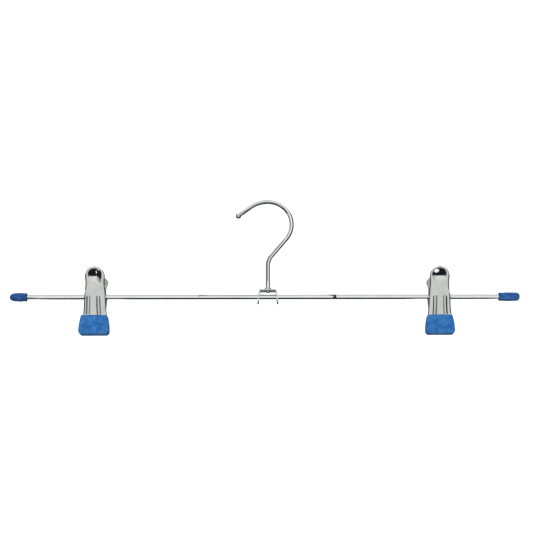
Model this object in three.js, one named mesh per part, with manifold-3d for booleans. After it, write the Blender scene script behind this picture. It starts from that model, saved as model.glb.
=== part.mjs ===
// Trouser hanger: a swivelling wire hook, a pressed bracket, a straight round bar with soft end
// caps, and two sprung clips with soft jaw tips that slide and turn on the bar.
// Millimetres, +Z up. The bar runs along X and the hanger is seen from -Y. The origin is the point
// inside the top of the hook where a rail carries it.
import * as THREE from 'three';
import { mergeVertices } from 'three/addons/utils/BufferGeometryUtils.js';
import Module from 'manifold-3d';

const wasm = await Module();
wasm.setup();

// Sizes shared by several pieces
const clearance = 0.3;
const cutOverrun = 1;
const roundSides = 20;

// Bar
const barRadius = 1.9;
const barLeftReach = 204.1;
const barRightReach = 199.3;

// Hook: a wire bent in one plane, with an upset collar, a riveted foot and a ball at its tip
const wireRadius = 1.8;
const wireSides = 12;
const wireSteps = 60;
const bowlRadius = 19.6;
const bowlRise = 62;
const browRadius = 24.2;
const throatLean = THREE.MathUtils.degToRad(39.4);
const tipLean = THREE.MathUtils.degToRad(37.5);
const ankleRadius = 13.2;
const tipLength = 8.9;
const tipNeckRadius = 1.45;
const tipNeckLength = 1;
const tipBallRadius = 2.35;
const collarRadius = 2.8;
const collarHeight = 1.3;
const rivetNeckRadius = 1.5;
const rivetHeadRadius = 2.15;
const rivetHeadHeight = 0.9;

// Bracket: a strip bent to a stirrup
const webTop = 5.8;
const stripThickness = 1.1;
const stripWidth = 7;
const webHalfWidth = 7.4;
const legSplay = THREE.MathUtils.degToRad(6);
const legReach = 6;
const bracketCornerRadius = 1.6;

// End caps: soft sleeves, the left one pushed further on than the right one
const capRadius = 3.4;
const capBulge = 0.2;
const capMouthRadius = 3.2;
const leftCapLength = 13.6;
const leftCapNose = 6;
const leftCapGrip = 9.9;
const rightCapLength = 17.4;
const rightCapNose = 3.4;
const rightCapGrip = 13.7;

// Clip leaves: pressed sheet, with heights measured from the bar's axis
const sheet = 0.7;
const rimRadius = 1.1;
const domeRadius = 8;
const domeRise = 14.2;
const waistHalfWidth = 7.6;
const waistRise = 9.6;
const cheekHalfWidth = 8.5;
const cheekClearance = 0.35;
const nestedWaistShare = 0.6;
const shoulderDrop = 11;
const shoulderHalfWidth = 9.1;
const gripHalfWidth = 10.6;
const jawHalfWidth = 11;
const jawDrop = 29.8;
const faceAtBar = 7.5;
const kneeRise = 4;
const handleLean = THREE.MathUtils.degToRad(22);
const kneeOut = 8.2;
const gripOut = 2.7;
const gripTopDrop = 15.2;
const slopeStartDrop = 3.6;
const slopeStartOut = 6.4;
const slopeEndDrop = 12;
const slopeEndOut = 3.4;
const rimDepth = 1.3;
const handleRimDepth = 1.9;
const cheekReach = 4.2;
const cheekRise = 9;
const cheekFall = 13;
const dishRadius = 5.7;
const dishDepth = 2;
const dishLift = 0.5;
const ribOffset = 4.1;
const ribHalfWidth = 1.3;
const ribHeight = 0.9;
const ribTopDrop = 1;
const ribTopFade = 2.4;
const ribEndDrop = 19;
const ribEndFade = 3.5;

// Jaw tips: soft dipped sleeves round the jaws
const tipMouthDrop = 15.6;
const tipEndDrop = 31.1;
const tipMouthHalfWidth = 10.5;
const tipJawHalfWidth = 12.15;
const tipMouthCorner = 1.6;
const tipEndCorner = 2.7;
const tipHipShare = 0.36;
const tipInnerGap = 0.15;
const tipOuterWall = 1.2;
const tipEdgeRadius = 1.1;

// Clip springs: wire wound round the bar, with one leg up each handle
const springWireRadius = 0.6;
const springCoilRadius = 3.1;
const springPitch = 1.72;
const springTurns = 5;
const springLegLength = 11.5;
const springSides = 5;
const springStepsPerTurn = 8;

// Where the clips stand on the bar, in from its ends
const leftClipInset = 65.7;
const rightClipInset = 61.9;

// The rail sits inside the top of the bowl
const hangDrop = bowlRise + bowlRadius - wireRadius;

// Materials
const chrome = (name) => new THREE.MeshStandardMaterial({
  name, color: 0xc9cbcd, roughness: 0.12, metalness: 1,
});
const nickel = (name) => new THREE.MeshStandardMaterial({
  name, color: 0xc6c8c2, roughness: 0.28, metalness: 1,
});
const vinyl = (name) => new THREE.MeshStandardMaterial({
  name, color: 0x2b6cb4, roughness: 0.45, metalness: 0,
});

// Solids: closed geometries in and out of the cutting library
function toSolid(geometry) {
  const bare = geometry.clone();
  bare.deleteAttribute('normal');
  bare.deleteAttribute('uv');
  const merged = mergeVertices(bare, 1e-5);
  const index = merged.index.array;
  const position = merged.attributes.position;
  const triangles = [];
  for (let i = 0; i < index.length; i += 3) {
    const [a, b, c] = [index[i], index[i + 1], index[i + 2]];
    if (a !== b && b !== c && c !== a) triangles.push(a, b, c);
  }
  if (signedVolume(position, triangles) < 0) triangles.reverse();
  return new wasm.Manifold(new wasm.Mesh({
    numProp: 3,
    vertProperties: new Float32Array(position.array),
    triVerts: new Uint32Array(triangles),
  }));
}

function signedVolume(position, triangles) {
  const [a, b, c] = [new THREE.Vector3(), new THREE.Vector3(), new THREE.Vector3()];
  let sum = 0;
  for (let i = 0; i < triangles.length; i += 3) {
    a.fromBufferAttribute(position, triangles[i]);
    b.fromBufferAttribute(position, triangles[i + 1]);
    c.fromBufferAttribute(position, triangles[i + 2]);
    sum += a.dot(b.cross(c));
  }
  return sum;
}

function toGeometry(solid) {
  const mesh = solid.getMesh();
  const geometry = new THREE.BufferGeometry();
  geometry.setAttribute('position', new THREE.BufferAttribute(mesh.vertProperties, 3));
  geometry.setIndex(new THREE.BufferAttribute(mesh.triVerts, 1));
  geometry.computeVertexNormals();
  return geometry;
}

function named(name, solid, material) {
  const mesh = new THREE.Mesh(toGeometry(solid), material);
  mesh.name = name;
  return mesh;
}

// Shapes used more than once
function rodAlongX(radius, fromX, toX, sides = roundSides) {
  const rod = new THREE.CylinderGeometry(radius, radius, toX - fromX, sides);
  rod.rotateZ(Math.PI / 2);
  rod.translate((fromX + toX) / 2, 0, 0);
  return toSolid(rod);
}

// A revolved solid: radius and height pairs, first and last on the axis or closing on itself
function turned(profile, sides = roundSides) {
  const points = profile.map(([radius, height]) => new THREE.Vector2(radius, height));
  const lathe = new THREE.LatheGeometry(points, sides);
  lathe.rotateX(Math.PI / 2);
  return lathe;
}

// An outline in the X-Z plane pushed along Y from nearY to farY
function plateAlongY(shape, nearY, farY, options = {}) {
  const plate = new THREE.ExtrudeGeometry(shape, {
    depth: farY - nearY, bevelEnabled: false, curveSegments: 6, ...options,
  });
  plate.rotateX(Math.PI / 2);
  plate.translate(0, farY, 0);
  return plate;
}

// A round section swept along a curve
function wire(path, radius, sides, steps) {
  const section = new THREE.Shape();
  for (let i = 0; i < sides; i += 1) {
    const turn = (i / sides) * 2 * Math.PI;
    const [x, y] = [radius * Math.cos(turn), radius * Math.sin(turn)];
    if (i === 0) section.moveTo(x, y);
    else section.lineTo(x, y);
  }
  section.closePath();
  return toSolid(new THREE.ExtrudeGeometry(section, { extrudePath: path, steps, bevelEnabled: false }));
}

// A value that passes smoothly, without overshoot, through stations of [height, value]
function smoothThrough(stations, height) {
  const rising = [...stations].sort((a, b) => a[0] - b[0]);
  const last = rising.length - 1;
  if (height <= rising[0][0]) return rising[0][1];
  if (height >= rising[last][0]) return rising[last][1];
  const slopes = [];
  for (let i = 0; i < last; i += 1) {
    slopes.push((rising[i + 1][1] - rising[i][1]) / (rising[i + 1][0] - rising[i][0]));
  }
  const tangentAt = (i) => {
    if (i === 0) return slopes[0];
    if (i === last) return slopes[last - 1];
    const [before, after] = [slopes[i - 1], slopes[i]];
    return before * after <= 0 ? 0 : (2 * before * after) / (before + after);
  };
  const i = rising.findIndex((station, k) => k < last && height <= rising[k + 1][0]);
  const span = rising[i + 1][0] - rising[i][0];
  const s = (height - rising[i][0]) / span;
  const [s2, s3] = [s * s, s * s * s];
  return (2 * s3 - 3 * s2 + 1) * rising[i][1] + (s3 - 2 * s2 + s) * span * tangentAt(i)
    + (3 * s2 - 2 * s3) * rising[i + 1][1] + (s3 - s2) * span * tangentAt(i + 1);
}

const ease = (s) => {
  const c = Math.min(Math.max(s, 0), 1);
  return c * c * (3 - 2 * c);
};

// A wire route made of straight runs and arcs in one plane, evenly walked by its length.
// Heading 0 is +X and headings turn from +X towards +Z.
class BentWirePath extends THREE.Curve {
  constructor(start, heading, pieces) {
    super();
    this.marks = [];
    let [at, facing, done] = [start.clone(), heading, 0];
    for (const piece of pieces) {
      const length = piece.run ?? Math.abs(piece.turn) * piece.radius;
      this.marks.push({ ...piece, at: at.clone(), facing, done, length });
      at = this.along(this.marks.at(-1), length);
      facing += piece.turn ?? 0;
      done += length;
    }
    this.total = done;
    this.end = at;
    this.endHeading = facing;
  }

  along(mark, distance) {
    if (mark.run !== undefined) {
      return new THREE.Vector3(
        mark.at.x + distance * Math.cos(mark.facing), 0, mark.at.z + distance * Math.sin(mark.facing),
      );
    }
    const side = Math.sign(mark.turn);
    const swept = mark.facing + side * (distance / mark.radius);
    return new THREE.Vector3(
      mark.at.x + side * mark.radius * (Math.sin(swept) - Math.sin(mark.facing)),
      0,
      mark.at.z - side * mark.radius * (Math.cos(swept) - Math.cos(mark.facing)),
    );
  }

  getPoint(t) {
    const walked = t * this.total;
    const mark = this.marks.findLast((m) => m.done <= walked) ?? this.marks[0];
    return this.along(mark, walked - mark.done);
  }
}

// Hook
function makeHook() {
  const collarBottom = webTop + clearance;
  const collarTop = collarBottom + collarHeight;
  // The throat leaves the bowl on a tangent and meets the stem's line at the ankle
  const throatHeading = Math.PI / 2 - throatLean;
  const tangentX = bowlRadius * Math.sin(throatHeading);
  const tangentZ = bowlRise - bowlRadius * Math.cos(throatHeading);
  const ankleZ = tangentZ - tangentX * Math.tan(throatHeading);
  const ankleRun = ankleRadius * Math.tan(throatLean / 2);
  const throatLength = Math.hypot(tangentX, tangentZ - ankleZ);
  const stemLength = ankleZ - ankleRun - collarTop;
  const route = new BentWirePath(new THREE.Vector3(0, 0, collarTop - cutOverrun / 2), Math.PI / 2, [
    { run: stemLength + cutOverrun / 2 },
    { turn: -throatLean, radius: ankleRadius },
    { run: throatLength - ankleRun },
    { turn: Math.PI - throatHeading, radius: bowlRadius },
    { turn: tipLean, radius: browRadius },
    { run: tipLength },
  ]);
  const rod = wire(route, wireRadius, wireSides, wireSteps);

  const webBottom = webTop - stripThickness;
  const headTop = webBottom - clearance;
  const foot = toSolid(turned([
    [0, headTop - rivetHeadHeight],
    [rivetHeadRadius / 2, headTop - rivetHeadHeight],
    [rivetHeadRadius * Math.cos(Math.PI / 6), headTop - rivetHeadHeight / 2],
    [rivetHeadRadius, headTop],
    [rivetNeckRadius, headTop],
    [rivetNeckRadius, collarBottom],
    [collarRadius, collarBottom],
    [collarRadius, collarTop - collarHeight / 3],
    [(collarRadius + wireRadius) / 2, collarTop],
    [0, collarTop],
  ]));

  const away = new THREE.Vector3(Math.cos(route.endHeading), 0, Math.sin(route.endHeading));
  const neck = new THREE.CylinderGeometry(
    tipNeckRadius, tipNeckRadius, tipNeckLength + cutOverrun, wireSides,
  );
  const ball = new THREE.SphereGeometry(tipBallRadius, 14, 8);
  const toAxis = new THREE.Quaternion().setFromUnitVectors(new THREE.Vector3(0, 1, 0), away);
  for (const piece of [neck, ball]) piece.applyQuaternion(toAxis);
  const neckCentre = route.end.clone().addScaledVector(away, tipNeckLength / 2);
  const ballCentre = route.end.clone().addScaledVector(away, tipNeckLength + tipBallRadius * 0.8);
  neck.translate(neckCentre.x, neckCentre.y, neckCentre.z);
  ball.translate(ballCentre.x, ballCentre.y, ballCentre.z);
  return named('hook', rod.add(foot).add(toSolid(neck)).add(toSolid(ball)), chrome('hook_chrome'));
}

// Bracket
function makeBracket() {
  const legDrop = webTop + legReach;
  const splayOut = legDrop * Math.tan(legSplay);
  const inner = webHalfWidth - stripThickness;
  const footOut = webHalfWidth + splayOut;
  const footIn = footOut - stripThickness / Math.cos(legSplay);
  const strap = new THREE.Shape();
  strap.moveTo(footOut, -legReach);
  strap.lineTo(webHalfWidth, webTop - bracketCornerRadius);
  strap.quadraticCurveTo(webHalfWidth, webTop, webHalfWidth - bracketCornerRadius, webTop);
  strap.lineTo(bracketCornerRadius - webHalfWidth, webTop);
  strap.quadraticCurveTo(-webHalfWidth, webTop, -webHalfWidth, webTop - bracketCornerRadius);
  strap.lineTo(-footOut, -legReach);
  strap.lineTo(-footIn, -legReach);
  strap.lineTo(-inner, webTop - stripThickness);
  strap.lineTo(inner, webTop - stripThickness);
  strap.lineTo(footIn, -legReach);
  strap.closePath();
  const halfStrip = stripWidth / 2;
  const bent = toSolid(plateAlongY(strap, -halfStrip, halfStrip));

  // Seen from the side each leg ends in a half round about the bar
  const side = new THREE.Shape();
  const legEndCentre = halfStrip - legReach;
  side.moveTo(halfStrip, webTop + cutOverrun);
  side.lineTo(halfStrip, legEndCentre);
  side.absarc(0, legEndCentre, halfStrip, 0, -Math.PI, true);
  side.lineTo(-halfStrip, webTop + cutOverrun);
  side.closePath();
  const sideWidth = footOut + cutOverrun;
  const sidePlate = plateAlongY(side, -sideWidth, sideWidth);
  sidePlate.rotateZ(Math.PI / 2);

  const stemHole = new THREE.CylinderGeometry(
    rivetNeckRadius + clearance, rivetNeckRadius + clearance, webTop + legReach, roundSides,
  );
  stemHole.rotateX(Math.PI / 2);
  stemHole.translate(0, 0, webTop);
  const barHole = rodAlongX(barRadius + clearance, -sideWidth, sideWidth);
  const bracket = bent.intersect(toSolid(sidePlate)).subtract(toSolid(stemHole)).subtract(barHole);
  return named('bracket', bracket, chrome('bracket_chrome'));
}

// Bar and its end caps
function makeBar() {
  return named('bar', rodAlongX(barRadius, -barLeftReach, barRightReach), chrome('bar_chrome'));
}

function makeEndCap(name, length, nose, grip, barEnd, outward) {
  const bore = barRadius + clearance;
  const mouth = barEnd - grip;
  const tip = mouth + length;
  const noseStart = tip - nose;
  const profile = [
    [0, barEnd + clearance],
    [bore, barEnd + clearance],
    [bore, mouth],
    [capMouthRadius, mouth],
    [capRadius, mouth + capMouthRadius - bore],
    [capRadius + capBulge, (mouth + noseStart) / 2],
  ];
  const noseSteps = 6;
  for (let i = 0; i <= noseSteps; i += 1) {
    const turn = (i / noseSteps) * (Math.PI / 2);
    profile.push([capRadius * Math.cos(turn), noseStart + nose * Math.sin(turn)]);
  }
  profile.at(-1)[0] = 0;
  const cap = turned(profile);
  cap.rotateY(outward * (Math.PI / 2));
  return named(name, toSolid(cap), vinyl(`${name}_vinyl`));
}

// One clip leaf. Its outer face looks towards -Y. A leaf is a pressed sheet: a handle with a thumb
// dish, cheeks that turn back round the bar, and a ribbed blade that runs down into the jaw.
// The rear leaf is the same pressing with its cheeks nested inside those of the front one.
const frontLeaf = { cheekWidth: cheekHalfWidth };
const rearLeaf = { cheekWidth: cheekHalfWidth - sheet - cheekClearance };

function leafHalfWidth(leaf, height) {
  const nested = cheekHalfWidth - leaf.cheekWidth;
  return smoothThrough([
    [domeRise, domeRadius],
    [waistRise, waistHalfWidth - nested * nestedWaistShare],
    [0, leaf.cheekWidth],
    [-shoulderDrop, shoulderHalfWidth - nested],
    [-(tipMouthDrop + sheet), (shoulderHalfWidth + gripHalfWidth) / 2],
    [-(tipMouthDrop + tipEndDrop) / 2, gripHalfWidth],
    [-jawDrop, jawHalfWidth],
  ], height);
}

function leafFaceOut(height) {
  if (height >= kneeRise) return kneeOut + (height - kneeRise) * Math.tan(handleLean);
  return smoothThrough([
    [kneeRise, kneeOut],
    [0, faceAtBar],
    [-slopeStartDrop, slopeStartOut],
    [-slopeEndDrop, slopeEndOut],
    [-gripTopDrop, gripOut],
    [-jawDrop, gripOut],
  ], height);
}

// How deep the turned-back rim is: full cheeks at the bar, a low rim elsewhere
function leafRimDepth(height) {
  const low = height > 0 ? handleRimDepth : rimDepth;
  const reach = height > 0 ? cheekRise : cheekFall;
  const swell = Math.cos(Math.min(Math.abs(height) / reach, 1) * (Math.PI / 2)) ** 2;
  return low + (faceAtBar + cheekReach - low) * swell;
}

function leafRelief(x, height, ribCentre) {
  const upHandle = (height - domeRise - dishLift) / Math.cos(handleLean);
  const dishOff = Math.hypot(x, upHandle) / dishRadius;
  const dish = dishOff < 1 ? dishDepth * (0.5 + 0.5 * Math.cos(Math.PI * dishOff)) : 0;
  const across = Math.abs(Math.abs(x) - ribCentre) / ribHalfWidth;
  const arch = across < 1 ? ribHeight * Math.sqrt(1 - across * across) : 0;
  const fade = ease((-height - ribTopDrop) / ribTopFade) * ease((height + ribEndDrop) / ribEndFade);
  return arch * fade - dish;
}

// The columns across a leaf, as shares of its half width, close together over the ribs
function faceShares() {
  const centre = ribOffset / (cheekHalfWidth - rimRadius);
  const half = ribHalfWidth / (cheekHalfWidth - rimRadius);
  const right = [centre - half, centre - 0.6 * half, centre, centre + 0.6 * half, centre + half];
  const outer = [...right, (1 + right.at(-1)) / 2, 1];
  return [...outer.map((share) => -share).reverse(), -right[0] / 2, 0, right[0] / 2, ...outer]
    .filter((share, i, all) => all.indexOf(share) === i);
}

function leafRows(bottom) {
  const rows = [];
  const domeSteps = 6;
  for (let i = domeSteps; i > 0; i -= 1) {
    rows.push({ height: domeRise, turn: (i / domeSteps) * (Math.PI / 2) });
  }
  const handleSteps = 6;
  for (let i = handleSteps; i > 0; i -= 1) {
    rows.push({ height: (i / handleSteps) * domeRise, turn: 0 });
  }
  const bladeShares = [0, 0.05, 0.11, 0.18, 0.27, 0.36, 0.45, 0.53, 0.59, 0.66, 1];
  for (const share of bladeShares) rows.push({ height: -share * bottom, turn: 0 });
  return rows;
}

// One skin of the leaf at one row, grown outwards by a size or, where negative, moved in
function skinPoints(leaf, row, grown, rimGrown, shares) {
  const width = row.turn > 0 ? domeRadius : leafHalfWidth(leaf, row.height);
  // The dome is round in the plane of the handle
  const [c, s] = [Math.cos(row.turn), Math.sin(row.turn) * Math.cos(handleLean)];
  const place = (reach, out) => new THREE.Vector3(reach * c, -out, row.height + reach * s);
  const faceReach = width - rimRadius;
  const faceHeight = row.height + faceReach * s;
  const edgeHeight = row.height + width * s;
  const lean = Math.atan(
    (leafFaceOut(faceHeight + sheet) - leafFaceOut(faceHeight - sheet)) / (2 * sheet),
  );
  const faceOut = leafFaceOut(faceHeight) + grown / Math.cos(lean);
  const bendCentreOut = leafFaceOut(edgeHeight) - rimRadius;
  const bend = rimRadius + grown;
  const rimOut = leafFaceOut(edgeHeight) - leafRimDepth(edgeHeight) - rimGrown;
  const ribCentre = ribOffset * (faceReach / (cheekHalfWidth - rimRadius));
  const face = shares.map((share) => {
    const x = share * faceReach * c;
    const edgeFade = Math.abs(share) === 1 ? 0 : 1;
    const out = faceOut + edgeFade * leafRelief(x, faceHeight, ribCentre);
    return new THREE.Vector3(x, -out, faceHeight);
  });
  const quarter = Math.PI / 4;
  const right = [
    place(faceReach + bend * Math.sin(quarter), bendCentreOut + bend * Math.cos(quarter)),
    place(width + grown, bendCentreOut),
    place(width + grown, rimOut),
  ];
  const left = right.map((p) => new THREE.Vector3(-p.x, p.y, p.z)).reverse();
  return [...left, ...face, ...right];
}

function leafSheet(leaf, growth) {
  const shares = faceShares();
  const bottom = jawDrop + growth;
  const rows = leafRows(bottom).map((row) => ({
    outer: skinPoints(leaf, row, growth, growth, shares),
    inner: skinPoints(leaf, row, -sheet - growth, growth, shares),
  }));
  return toSolid(skinsToGeometry(rows));
}

// Joins an outer and an inner grid of points into one closed sheet. Each grid's first row has folded
// to a line, so the sheet needs an end strip only at its last row.
function skinsToGeometry(rows) {
  const across = rows[0].outer.length;
  const positions = [];
  const index = [];
  for (const row of rows) {
    for (const p of [...row.outer, ...row.inner]) positions.push(p.x, p.y, p.z);
  }
  const outer = (r, k) => r * 2 * across + k;
  const inner = (r, k) => outer(r, k) + across;
  const quad = (a, b, c, d) => index.push(a, b, c, a, c, d);
  for (let r = 0; r + 1 < rows.length; r += 1) {
    for (let k = 0; k + 1 < across; k += 1) {
      quad(outer(r, k), outer(r + 1, k), outer(r + 1, k + 1), outer(r, k + 1));
      quad(inner(r, k), inner(r, k + 1), inner(r + 1, k + 1), inner(r + 1, k));
    }
    quad(outer(r, 0), inner(r, 0), inner(r + 1, 0), outer(r + 1, 0));
    quad(outer(r, across - 1), outer(r + 1, across - 1), inner(r + 1, across - 1), inner(r, across - 1));
  }
  const last = rows.length - 1;
  for (let k = 0; k + 1 < across; k += 1) {
    quad(outer(last, k), inner(last, k), inner(last, k + 1), outer(last, k + 1));
  }
  const geometry = new THREE.BufferGeometry();
  geometry.setAttribute('position', new THREE.Float32BufferAttribute(positions, 3));
  geometry.setIndex(index);
  return geometry;
}

function makeLeaf(name, leaf) {
  const reach = leaf.cheekWidth + cutOverrun;
  const hole = rodAlongX(barRadius + clearance, -reach, reach, 16);
  return named(name, leafSheet(leaf, 0).subtract(hole), nickel(`${name}_nickel`));
}

// A jaw tip: a rounded sleeve, hollowed by the grown leaf that it is dipped on
function makeJawTip(name, leaf) {
  const height = tipEndDrop - tipMouthDrop;
  const hip = -tipMouthDrop - height * tipHipShare;
  const outline = new THREE.Shape();
  outline.moveTo(tipMouthCorner - tipMouthHalfWidth, -tipMouthDrop);
  outline.quadraticCurveTo(
    -tipMouthHalfWidth, -tipMouthDrop, -tipMouthHalfWidth - tipMouthCorner / 4, -tipMouthDrop - tipMouthCorner,
  );
  outline.quadraticCurveTo(-tipJawHalfWidth, hip, -tipJawHalfWidth, tipEndCorner - tipEndDrop);
  outline.quadraticCurveTo(-tipJawHalfWidth, -tipEndDrop, tipEndCorner - tipJawHalfWidth, -tipEndDrop);
  outline.lineTo(tipJawHalfWidth - tipEndCorner, -tipEndDrop);
  outline.quadraticCurveTo(tipJawHalfWidth, -tipEndDrop, tipJawHalfWidth, tipEndCorner - tipEndDrop);
  outline.quadraticCurveTo(
    tipJawHalfWidth, hip, tipMouthHalfWidth + tipMouthCorner / 4, -tipMouthDrop - tipMouthCorner,
  );
  outline.quadraticCurveTo(
    tipMouthHalfWidth, -tipMouthDrop, tipMouthHalfWidth - tipMouthCorner, -tipMouthDrop,
  );
  outline.closePath();
  const outerFace = gripOut + clearance + tipOuterWall;
  const bevel = {
    bevelEnabled: true,
    bevelSize: tipEdgeRadius,
    bevelThickness: tipEdgeRadius,
    bevelOffset: -tipEdgeRadius,
    bevelSegments: 2,
    curveSegments: 4,
  };
  const block = plateAlongY(outline, tipEdgeRadius - outerFace, -tipInnerGap - tipEdgeRadius, bevel);
  const tip = toSolid(block).subtract(leafSheet(leaf, clearance));
  return named(name, tip, vinyl(`${name}_vinyl`));
}

// A torsion spring: up the front handle, round the bar and up the rear handle, in one wire
class SpringPath extends THREE.Curve {
  constructor() {
    super();
    this.legLean = SpringPath.leanOnHandle();
    this.wrap = springTurns * 2 * Math.PI + Math.PI - 2 * this.legLean;
    this.coilLength = Math.hypot(this.wrap * springCoilRadius, (this.wrap * springPitch) / (2 * Math.PI));
    this.halfSpan = (this.wrap * springPitch) / (4 * Math.PI);
    this.total = this.coilLength + 2 * springLegLength;
  }

  // A leg leans out from the coil until its end lies against the inside of the handle
  static leanOnHandle() {
    const inside = (kneeOut - kneeRise * Math.tan(handleLean)) * Math.cos(handleLean) - sheet;
    const spare = inside - springWireRadius - clearance - springCoilRadius;
    return handleLean + Math.asin(spare / springLegLength);
  }

  // Turn 0 is where the front leg meets the coil, and the coil runs down the front and under the bar
  coilPoint(turn) {
    const angle = -this.legLean - turn;
    return new THREE.Vector3(
      -this.halfSpan + (turn * springPitch) / (2 * Math.PI),
      -springCoilRadius * Math.cos(angle),
      springCoilRadius * Math.sin(angle),
    );
  }

  getPoint(t) {
    const walked = t * this.total;
    if (walked < springLegLength) {
      const back = springLegLength - walked;
      return this.coilPoint(0).add(new THREE.Vector3(
        0, -back * Math.sin(this.legLean), back * Math.cos(this.legLean),
      ));
    }
    const beyond = walked - springLegLength - this.coilLength;
    if (beyond > 0) {
      return this.coilPoint(this.wrap).add(new THREE.Vector3(
        0, beyond * Math.sin(this.legLean), beyond * Math.cos(this.legLean),
      ));
    }
    return this.coilPoint(((walked - springLegLength) / this.coilLength) * this.wrap);
  }
}

function leastGapAlong(points, wireRadiusHere, neighbours) {
  let least = Infinity;
  for (let i = 0; i < points.length; i += 1) {
    for (let k = i + neighbours; k < points.length; k += 1) {
      least = Math.min(least, points[i].distanceTo(points[k]));
    }
  }
  return least - 2 * wireRadiusHere;
}

function makeSpring(name) {
  const path = new SpringPath();
  const steps = Math.round((path.total / (2 * Math.PI * springCoilRadius)) * springStepsPerTurn);
  const fine = path.getSpacedPoints(steps * 10);
  const gap = leastGapAlong(fine, springWireRadius, springStepsPerTurn * 5);
  console.log(`${name} least gap between turns ${gap.toFixed(2)} mm`);
  return named(name, wire(path, springWireRadius, springSides, steps), chrome(`${name}_steel`));
}

// A clip: two leaves face to face on the bar, with their tips and the spring between them
function makeClip(side, x) {
  const clip = new THREE.Group();
  const rear = new THREE.Group();
  rear.rotation.z = Math.PI;
  rear.add(makeLeaf(`${side}_rear_leaf`, rearLeaf));
  rear.add(makeJawTip(`${side}_rear_jaw_tip`, rearLeaf));
  clip.add(makeLeaf(`${side}_front_leaf`, frontLeaf));
  clip.add(makeJawTip(`${side}_front_jaw_tip`, frontLeaf));
  clip.add(makeSpring(`${side}_clip_spring`));
  clip.add(rear);
  clip.position.x = x;
  return clip;
}

// The whole hanger, hung from its rail
const hanger = new THREE.Group();
hanger.add(makeHook());
hanger.add(makeBracket());
hanger.add(makeBar());
hanger.add(makeEndCap('left_end_cap', leftCapLength, leftCapNose, leftCapGrip, barLeftReach, -1));
hanger.add(makeEndCap('right_end_cap', rightCapLength, rightCapNose, rightCapGrip, barRightReach, 1));
hanger.add(makeClip('left', leftClipInset - barLeftReach));
hanger.add(makeClip('right', barRightReach - rightClipInset));
hanger.position.z = -hangDrop;

const trouserHanger = new THREE.Group();
trouserHanger.add(hanger);

export default trouserHanger;
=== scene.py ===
"""Trouser hanger: the looks of the wire hook, bracket, bar, end caps and sprung clips.

Shapes are worked out in millimetres from the bar's axis, as the solids are, and every piece is
placed in the row frame, whose origin is the point inside the top of the hook. The studio round the
hanger is in metres.
"""
import math
from collections import namedtuple

import bmesh
import bpy
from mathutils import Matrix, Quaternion, Vector, noise


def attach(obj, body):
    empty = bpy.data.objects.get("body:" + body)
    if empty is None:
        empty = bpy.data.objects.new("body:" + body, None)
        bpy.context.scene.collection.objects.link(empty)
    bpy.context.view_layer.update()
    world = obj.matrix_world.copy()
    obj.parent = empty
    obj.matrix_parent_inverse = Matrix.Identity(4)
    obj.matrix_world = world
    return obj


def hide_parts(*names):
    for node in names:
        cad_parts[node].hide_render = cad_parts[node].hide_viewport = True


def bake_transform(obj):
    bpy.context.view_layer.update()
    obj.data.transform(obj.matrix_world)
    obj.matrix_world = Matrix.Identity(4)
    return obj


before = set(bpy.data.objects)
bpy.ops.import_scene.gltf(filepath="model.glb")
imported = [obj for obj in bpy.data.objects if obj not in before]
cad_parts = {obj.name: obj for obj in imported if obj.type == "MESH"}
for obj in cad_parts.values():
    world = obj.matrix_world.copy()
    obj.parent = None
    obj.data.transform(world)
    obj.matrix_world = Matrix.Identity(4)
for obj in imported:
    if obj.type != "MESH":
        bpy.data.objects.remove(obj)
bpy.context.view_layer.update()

# Metres in a millimetre, the height of the bar's axis in the row frame, and the bend in degrees over
# which an edge shows as sharp
MM = 0.001
BAR_Z = -79.8
SHARP = 40

# Bar, hook and bracket, as the solids have them
CLEARANCE = 0.3
BAR_RADIUS = 1.9
BAR_LEFT, BAR_RIGHT = -204.1, 199.3
BORE = BAR_RADIUS + CLEARANCE
WIRE_RADIUS = 1.8
WEB_TOP = 5.8
STRIP_THICKNESS = 1.1
STRIP_WIDTH = 7.0
WEB_HALF_WIDTH = 7.4
LEG_REACH = 6.0
LEG_SPLAY = math.radians(6)

# Places of the clips, each measured from its own end of the bar
CLIPS = {"left": BAR_LEFT + 65.7, "right": BAR_RIGHT - 61.9}

# Clip leaf: sheet and edge radius, then half widths and their heights above or below the bar's axis
SHEET = 0.7
RIM_RADIUS = 1.5
DOME_RADIUS, DOME_RISE = 8.0, 14.2
WAIST, WAIST_RISE = 7.6, 9.6
CHEEK = 8.5
NEST_GAP = 0.35
NESTED_CHEEK = CHEEK - SHEET - NEST_GAP
SHOULDER, SHOULDER_DROP = 9.1, 11.0
GRIP = 10.6
JAW, JAW_DROP = 11.0, 29.8

# Clip leaf: how far the face stands out from the bar's axis, and the lean of the handle
FACE_AT_BAR = 7.5
KNEE_OUT, KNEE_RISE = 8.2, 4.0
GRIP_OUT = 2.7
HANDLE_LEAN = math.radians(22)

# Clip leaf: depth of the rims and the length over which they swell, above and below the bar, and how
# far the cheeks go past its axis
UPPER_RIM, UPPER_SWELL = 1.9, 9.0
LOWER_RIM, LOWER_SWELL = 1.6, 13.0
CHEEK_PAST = 4.2

# Flutes: place, height, half of the flat top and width of a flank, then start and foot below the axis
RIB_OFFSET = 3.85
RIB_HEIGHT, RIB_FLAT, RIB_FLANK = 1.15, 0.45, 1.4
RIB_HALF = RIB_FLAT + RIB_FLANK
RIB_START, RIB_START_FADE = 0.5, 1.3
RIB_FOOT, RIB_FOOT_FADE = 19.0, 3.5

# Thumb dish: length above and below its crease, depth, and half width of its gentle lower end
DISH_RISE, DISH_FALL, DISH_DEPTH, DISH_END = 5.7, 6.6, 2.5, 5.6

# Jaw tips: mouth and end below the bar's axis
TIP_MOUTH, TIP_END = 15.6, 31.1

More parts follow.
